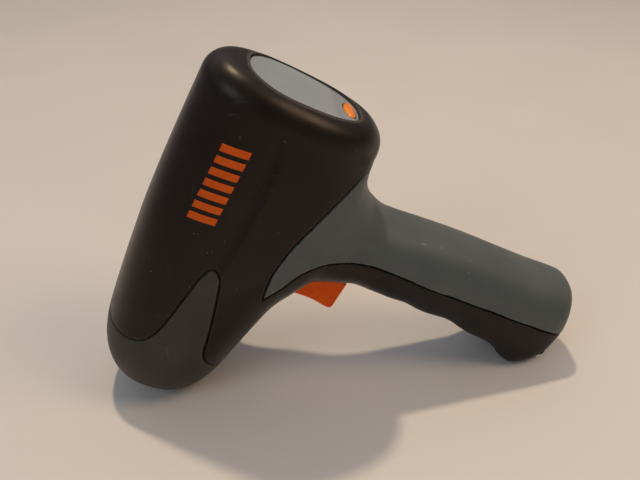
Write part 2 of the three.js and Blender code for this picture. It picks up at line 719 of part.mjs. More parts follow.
add('display_window', displayWindow(), 'window');
add('display_bezel', displayBezel(), 'plastic');
add('power_button', powerButton(), 'button');
add('lcd_panel', lcdPanel(), 'display');
add('backlight', backlight(), 'lens');
add('display_board', displayBoard(), 'board');
add('power_switch', powerSwitch(), 'plastic');

add('antenna_horn', antennaHorn(), 'metal');
add('antenna_lens', antennaLens(), 'lens');
add('nose_retainer', noseRetainer(), 'plastic');
add('radar_transceiver', transceiver(), 'metal');
add('main_board', mainBoard(), 'board');
BOARD_PARTS.forEach((part, i) => add(`board_chip_${i + 1}`, boardChip(part), 'plastic'));
add('buzzer', buzzer(), 'plastic');

add('trigger', trigger(), 'signal');
add('trigger_pin', triggerPin(), 'metal');
add('trigger_spring', triggerSpring(), 'metal');
add('trigger_switch', triggerSwitch(), 'plastic');
add('switch_lever', switchLever(), 'metal');

add('battery_tube', batteryTube(), 'plastic');
add('battery_cell_upper', batteryCell(1), 'cell');
add('battery_cell_lower', batteryCell(2), 'cell');
add('contact_carrier', contactCarrier(), 'plastic');
add('top_contact', topContact(), 'metal');
add('battery_door', batteryDoor(), 'casing');
add('bottom_contact', bottomContact(), 'metal');
add('cell_spring', cellSpring(), 'metal');
add('door_hinge_pin', hingePin(), 'metal');

// ---- the resting pose ---------------------------------------------------------------------------

gun.matrixAutoUpdate = false;
gun.matrix.makeBasis(
  new THREE.Vector3(-Math.cos(tilt), 0, -Math.sin(tilt)),
  new THREE.Vector3(0, -1, 0),
  up,
);
gun.updateMatrixWorld(true);
const extent = new THREE.Box3().setFromObject(gun, true);
gun.matrix.setPosition(-(extent.min.x + extent.max.x) / 2, 0, -extent.min.z);

const model = new THREE.Group();
model.add(gun);
export default model;
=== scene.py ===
import json
import math

import bmesh
import bpy
import numpy as np
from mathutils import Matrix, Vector


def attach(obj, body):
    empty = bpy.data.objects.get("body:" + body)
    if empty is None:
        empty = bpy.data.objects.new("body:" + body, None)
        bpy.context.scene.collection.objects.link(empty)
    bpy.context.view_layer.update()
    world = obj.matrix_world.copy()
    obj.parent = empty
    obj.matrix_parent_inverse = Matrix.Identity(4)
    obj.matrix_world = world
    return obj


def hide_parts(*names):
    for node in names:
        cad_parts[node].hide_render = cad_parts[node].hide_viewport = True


# The looks of a hand-held radar speed gun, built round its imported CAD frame. The skins that show are
# drawn as distance fields in the gun's own frame, in millimetres (+X rear face to nose, +Y the gun's
# left, +Z up), turned into fine meshes and set down in the row frame. Everything inside keeps its CAD
# mesh and gets a finish.

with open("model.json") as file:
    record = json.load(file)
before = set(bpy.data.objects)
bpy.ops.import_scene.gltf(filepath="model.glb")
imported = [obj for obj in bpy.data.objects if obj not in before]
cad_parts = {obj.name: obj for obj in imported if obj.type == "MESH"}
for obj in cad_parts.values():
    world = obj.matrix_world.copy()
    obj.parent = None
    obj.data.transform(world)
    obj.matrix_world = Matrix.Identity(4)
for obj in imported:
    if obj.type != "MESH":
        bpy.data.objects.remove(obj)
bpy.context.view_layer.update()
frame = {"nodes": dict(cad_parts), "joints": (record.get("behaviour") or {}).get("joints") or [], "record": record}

# ---- the gun's frame in the row frame -----------------------------------------------------------------

# Where the hinges are, in (x, z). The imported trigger's joint fixes the origin, and the button's the tilt.
TRIGGER_PIVOT = (82.0, -65.0)
DOOR_PIVOT = (65.0, -201.6)
JOINTS = {joint["name"]: joint for joint in frame["joints"]}
AHEAD = Vector(JOINTS["power_button_press"]["axis"]).normalized()
LEFT = Vector((0, -1, 0))
UP = AHEAD.cross(LEFT)
PIVOT = TRIGGER_PIVOT[0] * AHEAD + TRIGGER_PIVOT[1] * UP
ORIGIN = Vector(JOINTS["trigger_pull"]["pos_m"]) - PIVOT / 1000
BASIS = np.array([AHEAD, LEFT, UP])


def to_row(points):
    """Points in the gun's frame, in millimetres, as points in the row frame, in metres."""
    return np.asarray(points) @ BASIS / 1000 + np.array(ORIGIN)


# ---- the gun's outline ------------------------------------------------------------------------------

LENGTH = 155.8  # rear face to tip of nose
HEIGHT = 206.5  # crown to butt
REAR_RADIUS = 10.2  # round the rear face
DOME_START = 123.6  # x where the barrel begins to round into the nose
DOME_POWER = 2.75
BARREL_POWER = 2.32  # squareness of the sections: 2 is an ellipse
GRIP_POWER = 2.4
TOE_POWER = 4.6
GRIP_TOP = 40  # how far below the crown the grip's field starts
GRIP_BLEND = 7  # width of the soft corner where the grip leaves the barrel
BUTT_RADIUS = 2.5


def curve(*pairs):
    """A smooth function through (at, value) pairs that never overshoots between them."""
    at, value = (np.array(column, float) for column in zip(*sorted(pairs)))
    slope = np.diff(value) / np.diff(at)
    same = slope[:-1] * slope[1:] > 0
    middle = np.where(same, 2 * slope[:-1] * slope[1:] / np.where(same, slope[:-1] + slope[1:], 1), 0)
    tangent = np.concatenate([slope[:1], middle, slope[-1:]])

    def through(x):
        i = np.clip(np.searchsorted(at, x, "right") - 1, 0, len(at) - 2)
        width = at[i + 1] - at[i]
        t = np.clip((x - at[i]) / width, 0, 1)
        rise = value[i + 1] - value[i]
        leave, arrive = tangent[i] * width - rise, tangent[i + 1] * width - rise
        return value[i] + t * rise + t * (1 - t) * ((1 - t) * leave - t * arrive)

    return through


# The barrel's curves are heights along x, and the grip's are places along z.
barrel_top = curve(
    (0, 0), (40, -0.3), (67, -1), (90, -2.6), (108, -4.2), (128, -6.3), (142, -7.8), (LENGTH, -9),
)
barrel_bottom = curve(
    (0, -76.5), (40, -76.2), (66, -74.9), (93, -71.7), (112, -67.9), (126, -65.2), (140, -62.8),
    (LENGTH, -60.8),
)
grip_front = curve(
    (-40, 110), (-59, 98.5), (-71, 89.5), (-79, 77.7), (-89, 73.4), (-99, 70.4), (-118, 70.9), (-140, 71.2),
    (-160, 71.8), (-172, 71.9), (-179, 73.6), (-184, 76.4), (-189, 77.6), (-193, 75.9), (-197, 73.2),
    (-201, 68.5), (-204.5, 62.5), (-HEIGHT, 58),
)
grip_rear = curve(
    (-40, 1), (-59, 7.9), (-71, 11.8), (-79, 23.2), (-89, 31.8), (-99, 34.6), (-118, 33), (-140, 31.4),
    (-160, 31), (-174, 30.7), (-184, 29.9), (-190, 29.4), (-194, 29.3), (-197, 30.4), (-199.5, 34),
    (-202, 39.6), (-204, 44.6), (-HEIGHT, 51.5),
)
grip_half = curve(
    (-40, 28.4), (-59, 28.1), (-71, 25.1), (-79, 22.3), (-89, 20.1), (-99, 19.2), (-140, 19), (-172, 19.7),
    (-186, 19.8), (-193, 19.4), (-198, 18.2), (-201.5, 16.2), (-204, 13.4), (-205.6, 10), (-HEIGHT, 6),
)
front_power = curve((-40, GRIP_POWER), (-150, GRIP_POWER), (-184, TOE_POWER), (-HEIGHT, TOE_POWER))


def barrel_half(x):
    """Half the barrel's width, which grows towards the nose."""
    return 25.9 + 3.8 * (x / LENGTH) + 2 * (x / LENGTH) ** 2


def finger_waves(z):
    """Shallow swells down the front of the grip, between the fingers."""
    top, bottom, fade_length = -112, -176, 12
    swell_at, pitch, height = -136, 25.5, 0.55
    fade = np.clip((z - bottom) / fade_length, 0, 1) * np.clip((top - z) / fade_length, 0, 1)
    return height * fade * np.cos((z - swell_at) / pitch * 2 * np.pi)


# ---- distance fields --------------------------------------------------------------------------------


class Grid:
    """A box of evenly spaced points between two corners in the gun's frame."""

    def __init__(self, low, high, step):
        self.step = step
        self.axes = [np.arange(a, b + step, step, dtype=np.float32) for a, b in zip(low, high)]
        self.x, self.y, self.z = np.meshgrid(*self.axes, indexing="ij", sparse=True)

    def distance(self, field):
        """A field that is zero on a surface, scaled to measure distance from it."""
        slopes = np.gradient(field, self.step)
        return field / np.maximum(np.sqrt(sum(s * s for s in slopes)), 1e-4)

    def flat_distance(self, outline, axes):
        """Signed distance from a closed outline drawn across two of the axes, negative inside."""
        u, v = (self.axes[i] for i in axes)
        points = np.asarray(outline, np.float32)
        ends = np.roll(points, -1, axis=0)
        pu, pv = np.meshgrid(u, v, indexing="ij")
        near = np.full(pu.shape, 1e9, np.float32)
        inside = np.zeros(pu.shape, bool)
        for (au, av), (bu, bv) in zip(points, ends):
            du, dv = bu - au, bv - av
            t = np.clip(((pu - au) * du + (pv - av) * dv) / max(du * du + dv * dv, 1e-9), 0, 1)
            near = np.minimum(near, (pu - au - t * du) ** 2 + (pv - av - t * dv) ** 2)
            if av != bv:
                inside ^= ((av > pv) != (bv > pv)) & (pu < au + (pv - av) * du / dv)
        signed = np.sqrt(near) * np.where(inside, -1, 1)
        return np.expand_dims(signed.astype(np.float32), 3 - sum(axes))


def meet(a, b, radius):
    """Where both fields are inside, with the edge between them rounded."""
    u, v = a + radius, b + radius
    return np.minimum(np.maximum(u, v), 0) + np.hypot(np.maximum(u, 0), np.maximum(v, 0)) - radius


def blend(a, b, width):
    """Where either field is inside, with the corner between them filled in softly."""
    overlap = np.maximum(width - np.abs(a - b), 0) / width
    return np.minimum(a, b) - overlap * overlap * width / 4


def squareness(u, v, power):
    """1 on a superellipse of half-widths 1, less inside it."""
    return (np.abs(u) ** power + np.abs(v) ** power) ** (1 / power)


def barrel_field(grid):
    """Superellipse sections that close into a dome at the nose, cut off flat and rounded at the rear."""
    x, y, z = grid.x, grid.y, grid.z
    top, bottom = barrel_top(x), barrel_bottom(x)
    radial = squareness(y / barrel_half(x), (z - (top + bottom) / 2) / ((top - bottom) / 2), BARREL_POWER)
    along = np.clip((x - DOME_START) / (LENGTH - DOME_START), 0, None)
    side = grid.distance((radial**DOME_POWER + along**DOME_POWER) ** (1 / DOME_POWER) - 1)
    return meet(side, -x, REAR_RADIUS)


def grip_field(grid):
    """Superellipse sections down the grip, squarer in front at the toe."""
    x, y, z = grid.x, grid.y, grid.z
    front, rear = grip_front(z) + finger_waves(z), grip_rear(z)
    u = (x - (front + rear) / 2) / ((front - rear) / 2)
    v = y / grip_half(z)
    ahead, behind = squareness(u, v, front_power(z)), squareness(u, v, GRIP_POWER)
    side = grid.distance(np.where(u > 0, ahead, behind) - 1)
    return np.maximum(meet(side, -HEIGHT - z, BUTT_RADIUS), z + GRIP_TOP)


def outer_field(grid):
    """The gun's whole outside."""
    return blend(barrel_field(grid), grip_field(grid), GRIP_BLEND)


def table_field(grid):
    """Zero on the table, negative above it."""
    return -(grid.x * AHEAD.z + grid.z * UP.z + ORIGIN.z * 1000)


def rod_field(grid, u, v, radius, axes):
    """An endless round rod through (u, v) on two of the axes, along the third."""
    points = (grid.x, grid.y, grid.z)
    return np.hypot(points[axes[0]] - u, points[axes[1]] - v) - radius


def box_field(grid, low, high, radius):
    """A box with rounded edges."""
    centre = [(a + b) / 2 for a, b in zip(low, high)]
    half = [(b - a) / 2 - radius for a, b in zip(low, high)]
    q = [np.abs(p - c) - h for p, c, h in zip((grid.x, grid.y, grid.z), centre, half)]
    away = np.sqrt(sum(np.maximum(part, 0) ** 2 for part in q))
    return away + np.minimum(np.maximum(np.maximum(q[0], q[1]), q[2]), 0) - radius


# ---- seams --------------------------------------------------------------------------------------------

SEAM = 0.28  # how far each piece stands back from a seam's line
HAIRLINE = 0.03  # the same where the joint hardly shows
SPLINE_STEPS = 8


def between(t, at_a, at_b, a, b):
    """The point at t on the line through a and b."""
    return ((at_b - t) * a + (t - at_a) * b) / (at_b - at_a)


def spline(points):
    """A smooth line through points: a centripetal Catmull-Rom curve."""
    points = np.asarray(points, float)
    before, after = 2 * points[:1] - points[1:2], 2 * points[-1:] - points[-2:-1]
    p = np.concatenate([before, points, after])
    out = []
    for i in range(len(p) - 3):
        gaps = (np.linalg.norm(p[i + 1 + k] - p[i + k]) ** 0.5 + 1e-6 for k in range(3))
        knots = np.cumsum([0, *gaps])
        for t in np.linspace(knots[1], knots[2], SPLINE_STEPS, endpoint=False):
            a = [between(t, knots[k], knots[k + 1], p[i + k], p[i + k + 1]) for k in range(3)]
            b = [between(t, knots[k], knots[k + 2], a[k], a[k + 1]) for k in range(2)]
            out.append(between(t, knots[1], knots[2], b[0], b[1]))
    return [*out, points[-1]]


# Seen from the side, in (x, z). Each field is negative inside its outline.
NOSE_OUTLINE = [
    (128, 20),
    *spline([
        (127.8, -6), (126.4, -12), (124.6, -17.6), (121.8, -21.6), (117.4, -24.4), (108.7, -26.8),
        (92.3, -29.4), (80.7, -31.4), (76.6, -33.2), (75.6, -35.4), (77.8, -38), (84.3, -40.2),
        (95.9, -43.2), (110.3, -46.4), (118.2, -48), (123.2, -51.4), (126.6, -57), (128.8, -64),
    ]),
    (129.8, -90), (LENGTH + 20, -90), (LENGTH + 20, 20),
]
PANEL_OUTLINE = [
    *spline([
        (83.4, -59.6), (70.7, -57.2), (56, -57.8), (41.8, -61.5), (31.7, -65.2), (23.9, -68.8), (15.6, -73.4),
        (4, -82),
    ]),
    (-10, -95), (-10, -240), (51, -240),
    *spline([
        (51, -197), (51.3, -180), (52.5, -143.4), (53, -126), (52.5, -111), (52.5, -100.4), (53.8, -89),
        (55.6, -83), (59.3, -74.9), (65.6, -68.3), (74.8, -64.4),
    ]),
]
STRAP_TOP = -103
STRAP_REAR = 38
STRAP_OUTLINE = [(STRAP_REAR, STRAP_TOP), (STRAP_REAR, -240), (110, -240), (110, STRAP_TOP)]
WINDOW_Z = -39.3  # centres of the window and the button in the rear face
BUTTON_Z = -59.2
OVAL_POINTS = 72
DOOR_HALF_WIDTH = 14.2


def superoval(half_u, half_v, power, centre, flare=0.0):
    """An oval in (y, z). Its half-width is more by the flare at its top, and less at its bottom."""
    angle = np.arange(OVAL_POINTS) / OVAL_POINTS * 2 * np.pi
    side = np.sign(np.cos(angle)) * np.abs(np.cos(angle)) ** (2 / power)
    up = np.sign(np.sin(angle)) * np.abs(np.sin(angle)) ** (2 / power)
    return np.stack([(half_u + flare * up) * side, centre + half_v * up], 1)


def window_outline(margin=0.0):
    half_width, half_height, power = 18.4, 23.7, 2.6
    return superoval(half_width + margin, half_height + margin, power, WINDOW_Z, flare=1.5)


def button_outline(margin=0.0):
    half_width, half_height, power = 7, 2.6, 2.1
    return superoval(half_width + margin, half_height + margin, power, BUTTON_Z)


def door_outline():
    """In (x, y): square at the hinge and round at the rear."""
    rear, front, half_width, radius = 38, DOOR_PIVOT[0], DOOR_HALF_WIDTH, 12
    turn = np.linspace(np.pi / 2, np.pi, 12)
    x, y = rear + radius + radius * np.cos(turn), half_width - radius + radius * np.sin(turn)
    upper = np.stack([x, y], 1)
    lower = upper[::-1] * (1, -1)
    return [(front, -half_width), (front, half_width), *upper, *lower]


# ---- meshes from fields -------------------------------------------------------------------------------

SHARP_ANGLE = math.radians(48)  # a cut piece's edges are shaded sharp from here up


def scuffed(points):
    """1 along the lower shoulders of the barrel's front half, which take the knocks."""
    starts_at, grows_over, keel = 62, 10, 8
    centre, half_height = 5.6, 2.2
    x, y, z = points.T
    height = z - barrel_bottom(x)
    along = np.clip((x - starts_at) / grows_over, 0, 1)
    band = np.clip(1.5 - np.abs(height - centre) / half_height, 0, 1)
    return along * band * (np.abs(y) > keel)


def skin(name, grid, field, wear_and_lip_highlight, edges=()):
    """A mesh on the field's zero surface: one point in each cell that the surface crosses, one quad
    round each grid edge that it crosses. The given wear is stored at the points; where it passes 1 it
    is a painted highlight, not wear. Each of `edges` is two fields whose meeting line is kept sharp."""
    field = np.ascontiguousarray(np.broadcast_to(field, [len(a) for a in grid.axes]), np.float32)
    shape = np.array(field.shape)
    strides = np.array([shape[1] * shape[2], shape[2], 1])
    flat = field.ravel()
    cells, points, turned = [], [], []
    for axis in range(3):
        first = [slice(None)] * 3
        second = [slice(None)] * 3
        first[axis], second[axis] = slice(0, -1), slice(1, None)
        at = np.argwhere((field[tuple(first)] < 0) != (field[tuple(second)] < 0))
        a = flat[at @ strides]
        b = flat[at @ strides + strides[axis]]
        point = np.stack([grid.axes[k][at[:, k]] for k in range(3)], 1).astype(float)
        point[:, axis] += grid.step * a / (a - b)
        u, v = (axis + 1) % 3, (axis + 2) % 3
        around = [(-1, -1), (0, -1), (0, 0), (-1, 0)]
        corner = [at @ strides + du * strides[u] + dv * strides[v] for du, dv in around]
        cells.append(np.stack(corner, 1))
        points.append(point)
        turned.append(a > 0)
    cells, points, turned = np.concatenate(cells), np.concatenate(points), np.concatenate(turned)
    _, vertex = np.unique(cells, return_inverse=True)
    vertex = vertex.reshape(-1)
    total = np.bincount(vertex)
    spread = np.repeat(points, 4, axis=0)
    centres = np.stack([np.bincount(vertex, spread[:, k]) / total for k in range(3)], 1)
    for edge in edges:
        centres = sharpened(grid, centres, np.unique(cells), edge)
    quads = vertex.reshape(-1, 4)
    quads = np.where(turned[:, None], quads[:, ::-1], quads)
    attributes = {"wear_and_lip_highlight": sample(grid, wear_and_lip_highlight, centres), "scuff": scuffed(centres)}
    return mesh_object(name, to_row(centres), quads, **attributes)


def sharpened(grid, centres, cells, edge):
    """Moves the points of cells that both fields cross on to the line where both are zero."""
    probe, rounds, furthest = 0.2, 4, 1.5 * grid.step
    shape = [len(a) for a in grid.axes]
    index = np.stack(np.unravel_index(cells, shape), 1)
    index = np.minimum(index, np.array(shape) - 2)
    both = np.ones(len(cells), bool)
    fields = [np.broadcast_to(field, shape) for field in edge]
    for field in fields:
        corner = np.stack([field[tuple((index + step).T)] for step in np.ndindex(2, 2, 2)])
        both &= (corner.min(0) < 0) & (corner.max(0) > 0)
    points = centres[both]
    for _ in range(rounds):
        for field in fields:
            steps = np.eye(3) * probe
            rises = [sample(grid, field, points + d) - sample(grid, field, points - d) for d in steps]
            slope = np.stack(rises, 1) / (2 * probe)
            step = sample(grid, field, points) / np.maximum((slope**2).sum(1), 0.01)
            points = points - slope * step[:, None]
    centres = centres.copy()
    close = np.linalg.norm(points - centres[both], axis=1) < furthest
    centres[both] = np.where(close[:, None], points, centres[both])
    return centres


def cut_flat(obj, point, normal):
    """Cuts off what lies beyond a plane, closes the cut and keeps its edges sharp. Row frame."""
    mesh = bmesh.new()
    mesh.from_mesh(obj.data)
    everything = [*mesh.verts, *mesh.edges, *mesh.faces]
    cut = bmesh.ops.bisect_plane(
        mesh, geom=everything, dist=1e-7, plane_co=point, plane_no=normal, clear_outer=True
    )["geom_cut"]
    edges = [e for e in cut if isinstance(e, bmesh.types.BMEdge) and e.is_boundary]
    bmesh.ops.triangle_fill(mesh, edges=edges, use_beauty=True, normal=normal)
    bmesh.ops.recalc_face_normals(mesh, faces=mesh.faces)
    for face in mesh.faces:
        face.smooth = True
    mesh.to_mesh(obj.data)
    mesh.free()
    obj.data.set_sharp_from_angle(angle=SHARP_ANGLE)
    return obj


def half(obj, side):
    """The part of a piece on one side of the gun's plane of symmetry."""
    return cut_flat(obj, (0, -side * HAIRLINE / 1000, 0), (0, side, 0))


def sample(grid, field, points):
    """The field's value at points, between its grid's points."""
    field = np.broadcast_to(field, [len(a) for a in grid.axes])
    at = [
        np.clip((points[:, k] - axis[0]) / grid.step, 0, len(axis) - 1.001)
        for k, axis in enumerate(grid.axes)
    ]
    low = [a.astype(int) for a in at]
    part = [a - b for a, b in zip(at, low)]
    value = np.zeros(len(points))
    for corner in np.ndindex(2, 2, 2):
        weight = np.prod([p if c else 1 - p for p, c in zip(part, corner)], axis=0)
        value += weight * field[tuple(b + c for b, c in zip(low, corner))]
    return value


def mesh_object(name, points, faces, **attributes):
    """Faces all have the same number of corners, and attributes are one number for each point."""
    mesh = bpy.data.meshes.new(name)
    faces = np.asarray(faces)
    mesh.vertices.add(len(points))
    mesh.vertices.foreach_set("co", np.asarray(points, np.float32).ravel())
    mesh.loops.add(faces.size)
    mesh.loops.foreach_set("vertex_index", faces.astype(np.int32).ravel())
    mesh.polygons.add(len(faces))
    mesh.polygons.foreach_set("loop_start", np.arange(0, faces.size, faces.shape[1], dtype=np.int32))
    mesh.polygons.foreach_set("use_smooth", np.ones(len(faces), bool))
    mesh.update()
    mesh.validate()
    for label, values in attributes.items():
        mesh.attributes.new(label, "FLOAT", "POINT").data.foreach_set("value", np.asarray(values, np.float32))
    obj = bpy.data.objects.new(name, mesh)
    bpy.context.scene.collection.objects.link(obj)
    return obj


# ---- materials ----------------------------------------------------------------------------------------


class Nodes:
    """A material's node tree, built by short calls."""

    def __init__(self, name):
        self.material = bpy.data.materials.new(name)
        self.material.use_nodes = True
        self.tree = self.material.node_tree
        self.shader = self.tree.nodes["Principled BSDF"]
        self.position = self.add("ShaderNodeTexCoord").outputs["Object"]

    def add(self, kind, **settings):
        node = self.tree.nodes.new(kind)
        for key, value in settings.items():
            setattr(node, key, value)
        return node

    def link(self, source, target):
        self.tree.links.new(source, target)

    def put(self, value, socket):
        """Links a socket, or sets a constant."""
        if isinstance(value, bpy.types.NodeSocket):
            self.link(value, socket)
        else:
            socket.default_value = value

    def math(self, operation, a, b, clamp=False):
        node = self.add("ShaderNodeMath", operation=operation, use_clamp=clamp)
        self.put(a, node.inputs[0])
        self.put(b, node.inputs[1])
        return node.outputs[0]

    def stretched(self, scale):
        """The position with its axes scaled, so that a pattern runs longer along the smaller ones."""
        node = self.add("ShaderNodeMapping")
        self.link(self.position, node.inputs["Vector"])
        node.inputs["Scale"].default_value = scale
        return node.outputs["Vector"]

    def noise(self, size_mm, detail=3.0, roughness=0.55, vector=None):
        """Noise whose features are about `size_mm` across."""
        node = self.add("ShaderNodeTexNoise")
        self.link(vector or self.position, node.inputs["Vector"])
        node.inputs["Scale"].default_value = 1000 / size_mm
        node.inputs["Detail"].default_value = detail
        node.inputs["Roughness"].default_value = roughness
        return node.outputs["Fac"]

    def cells(self, size_mm):
        """Distance from the nearest of scattered points, in cells of about `size_mm`."""
        node = self.add("ShaderNodeTexVoronoi")
        self.link(self.position, node.inputs["Vector"])
        node.inputs["Scale"].default_value = 1000 / size_mm
        return node.outputs["Distance"]

    def remap(self, value, low, high, to_low=0.0, to_high=1.0):
        """Takes low..high to to_low..to_high and holds it there."""
        node = self.add("ShaderNodeMapRange")
        self.put(value, node.inputs["Value"])
        node.inputs["From Min"].default_value = low
        node.inputs["From Max"].default_value = high
        node.inputs["To Min"].default_value = to_low
        node.inputs["To Max"].default_value = to_high
        return node.outputs["Result"]

    def mix(self, factor, a, b):
        node = self.add("ShaderNodeMix", data_type="RGBA")
        self.put(factor, node.inputs["Factor"])
        for value, socket in ((a, node.inputs["A"]), (b, node.inputs["B"])):
            self.put(value if isinstance(value, bpy.types.NodeSocket) else (*value, 1), socket)
        return node.outputs["Result"]

    def attribute(self, name):
        return self.add("ShaderNodeAttribute", attribute_name=name).outputs["Fac"]

    def up(self):
        """Height along the gun's own Z axis, in millimetres."""
        node = self.add("ShaderNodeVectorMath", operation="DOT_PRODUCT")
        self.link(self.position, node.inputs[0])
        node.inputs[1].default_value = UP * 1000
        return self.math("SUBTRACT", node.outputs["Value"], UP.dot(ORIGIN) * 1000)

    def bump(self, height, depth_mm, strength=1.0, after=None):
        node = self.add("ShaderNodeBump")
        node.inputs["Strength"].default_value = strength
        node.inputs["Distance"].default_value = depth_mm / 1000
        self.link(height, node.inputs["Height"])
        if after is not None:
            self.link(after, node.inputs["Normal"])
        return node.outputs["Normal"]

    def finish(self, color, roughness, normal, **constants):
        """Wires up the shader. The constants go straight on its own sockets."""
        self.link(color, self.shader.inputs["Base Color"])
        self.link(roughness, self.shader.inputs["Roughness"])
        self.link(normal, self.shader.inputs["Normal"])
        for key, value in constants.items():
            self.shader.inputs[key.replace("_", " ")].default_value = value
        return self.material


# The first is the pale highlight painted on the window's lip; the next two are dust and chips.
LIP_HIGHLIGHT_COLOR = (0.058, 0.050, 0.042)
DUST_COLOR = (0.42, 0.39, 0.36)
SCUFF_COLOR = (0.45, 0.43, 0.42)


def paler(color, gain, lift):
    return tuple(min(1, c * gain + lift) for c in color)


def moulded(
    name, dark, light, roughness, grain_mm, grain_depth,
    dust=0.0, scratch=0.35, sheen=0.0, coat=0.0, level=0.5, scuff=False, tint=(1, 1, 1),
):
    """Moulded plastic or rubber: mottled colour, a fine grain, hairline scratches, specks of dust and
    edges rubbed paler and smoother. The grain's size and depth are in millimetres. With scuff, it also
    takes chips where `scuff` is set, and a painted pale highlight on the window's lip, where the stored
    wear passes 1."""
    n = Nodes(name)
    # Edge wear along seams and edges; past 1 it marks the window's lip, which takes a painted highlight.
    worn = n.attribute("wear_and_lip_highlight")
    patches = n.remap(n.noise(26, 4), 0.3, 0.7)
    color = n.mix(patches, dark, light)
    lines = n.noise(2.2, 2, 0.6, n.stretched((1.0, 0.9, 0.05)))
    crossing = n.noise(3.4, 2, 0.6, n.stretched((0.06, 1.0, 0.8)))
    hair = n.math("MAXIMUM", n.remap(lines, 0.70, 0.73), n.remap(crossing, 0.71, 0.74))
    rare = n.math("MULTIPLY", hair, n.remap(n.noise(17, 2), 0.5, 0.62))
    color = n.mix(n.math("MULTIPLY", rare, scratch, True), color, paler(light, 3, 0.03))
    # Rubbed paler and smoother where worn; on the window's lip this is part of its painted highlight.
    rubbed = n.math("MULTIPLY", worn, n.remap(n.noise(3, 4), 0.35, 0.7), True)
    color = n.mix(n.math("MULTIPLY", rubbed, 0.5, True), color, paler(light, 1.8, 0.012))
    # Painted highlight: the window's lip is painted the pale lip colour where the stored wear passes 1.2.
    if scuff:
        color = n.mix(n.remap(worn, 1.2, 1.8), color, LIP_HIGHLIGHT_COLOR)
    if dust:
        dusty = n.remap(n.noise(8, 2), 0.54, 0.62)
        specks = n.math("MULTIPLY", n.remap(n.cells(2.7), 0.09, 0.05), dusty)
        color = n.mix(n.math("MULTIPLY", specks, dust, True), color, DUST_COLOR)
    if scuff:
        chips = n.remap(n.cells(1.15), 0.25, 0.15)
        patchy = n.remap(n.noise(5, 3, 0.6), 0.50, 0.58)
        chipped = n.math("MULTIPLY", n.math("MULTIPLY", chips, patchy), n.attribute("scuff"), True)
        color = n.mix(n.math("MULTIPLY", chipped, 0.8), color, SCUFF_COLOR)
    uneven = n.remap(n.noise(11, 5, 0.6), 0.25, 0.75, roughness - 0.05, roughness + 0.06)
    smoothed = n.math("SUBTRACT", uneven, n.math("MULTIPLY", rubbed, 0.1), True)
    grain = n.bump(n.noise(grain_mm, 2, 0.5), grain_depth)
    normal = n.bump(rare, -0.012, 1.0, n.bump(n.noise(14, 2), 0.05, 0.6, grain))
    constants = {"Specular_IOR_Level": level, "Specular_Tint": (*tint, 1)}
    if sheen:
        constants.update(Sheen_Weight=sheen, Sheen_Roughness=0.45)
    if coat:
        constants.update(Coat_Weight=coat, Coat_Roughness=0.2)
    return n.finish(color, smoothed, normal, **constants)


def window_material():
    """A clear hard-coated window over a pale grey reflective display."""
    n = Nodes("display_window")
    mottle = n.remap(n.noise(40, 3), 0.3, 0.7)
    color = n.mix(mottle, (0.30, 0.335, 0.365), (0.345, 0.375, 0.40))
    below = n.remap(n.up(), -51.5, -53)
    color = n.mix(n.math("MULTIPLY", below, 0.35), color, (0.21, 0.215, 0.25))
    smear = n.remap(n.noise(9, 4, 0.6, n.stretched((1, 0.35, 1))), 0.3, 0.75, 0.05, 0.14)
    fine = n.noise(0.9, 2, 0.6, n.stretched((0.1, 1, 0.6)))
    scratches = n.bump(n.remap(fine, 0.72, 0.76), -0.004)
    return n.finish(
        color, smear, scratches, Specular_IOR_Level=0.5, Coat_Weight=0.4, Coat_Roughness=0.05
    )


def metal_material(name, color, roughness, brushed=(1, 1, 1)):
    """Plated or cast metal, stained darker in patches, with lines where it is brushed."""
    n = Nodes(name)
    lines = n.noise(0.9, 3, 0.6, n.stretched(brushed))
    stained = n.remap(n.noise(6, 4), 0.35, 0.7)
    tint = n.mix(n.math("MULTIPLY", stained, 0.35), color, tuple(c * 0.72 for c in color))
    rough = n.remap(lines, 0.3, 0.7, roughness - 0.08, roughness + 0.1)
    return n.finish(tint, rough, n.bump(lines, 0.02, 0.5), Metallic=1.0)


def board_material():
    """Green solder mask over paler tracks, with tinned holes."""
    n = Nodes("circuit_board")
    tracks = n.add("ShaderNodeTexBrick", offset=0.5)
    n.link(n.stretched((900, 900, 900)), tracks.inputs["Vector"])
    tracks.inputs["Scale"].default_value = 0.4
    tracks.inputs["Mortar Size"].default_value = 0.04
    lines = tracks.outputs["Fac"]
    holes = n.remap(n.cells(3.1), 0.1, 0.07)
    color = n.mix(lines, (0.012, 0.10, 0.035), (0.03, 0.17, 0.06))
    color = n.mix(holes, color, (0.6, 0.45, 0.2))
    return n.finish(color, n.remap(n.noise(5), 0.3, 0.7, 0.28, 0.42), n.bump(lines, 0.04))


def cell_material():
    """A plain wrapped battery cell, copper-coloured, with a bare steel end at the bottom."""
    n = Nodes("battery_cell")
    shade = n.remap(n.noise(18, 3), 0.3, 0.7)
    color = n.mix(shade, (0.30, 0.17, 0.045), (0.40, 0.25, 0.08))
    steel = n.remap(n.up(), -196.2, -196.5)
    color = n.mix(steel, color, (0.46, 0.45, 0.43))
    scuffs = n.remap(n.noise(2.5, 3, 0.6, n.stretched((0.2, 1, 1))), 0.6, 0.7, 0.24, 0.42)
    return n.finish(color, scuffs, n.bump(n.noise(4, 2), 0.03), Metallic=0.6)


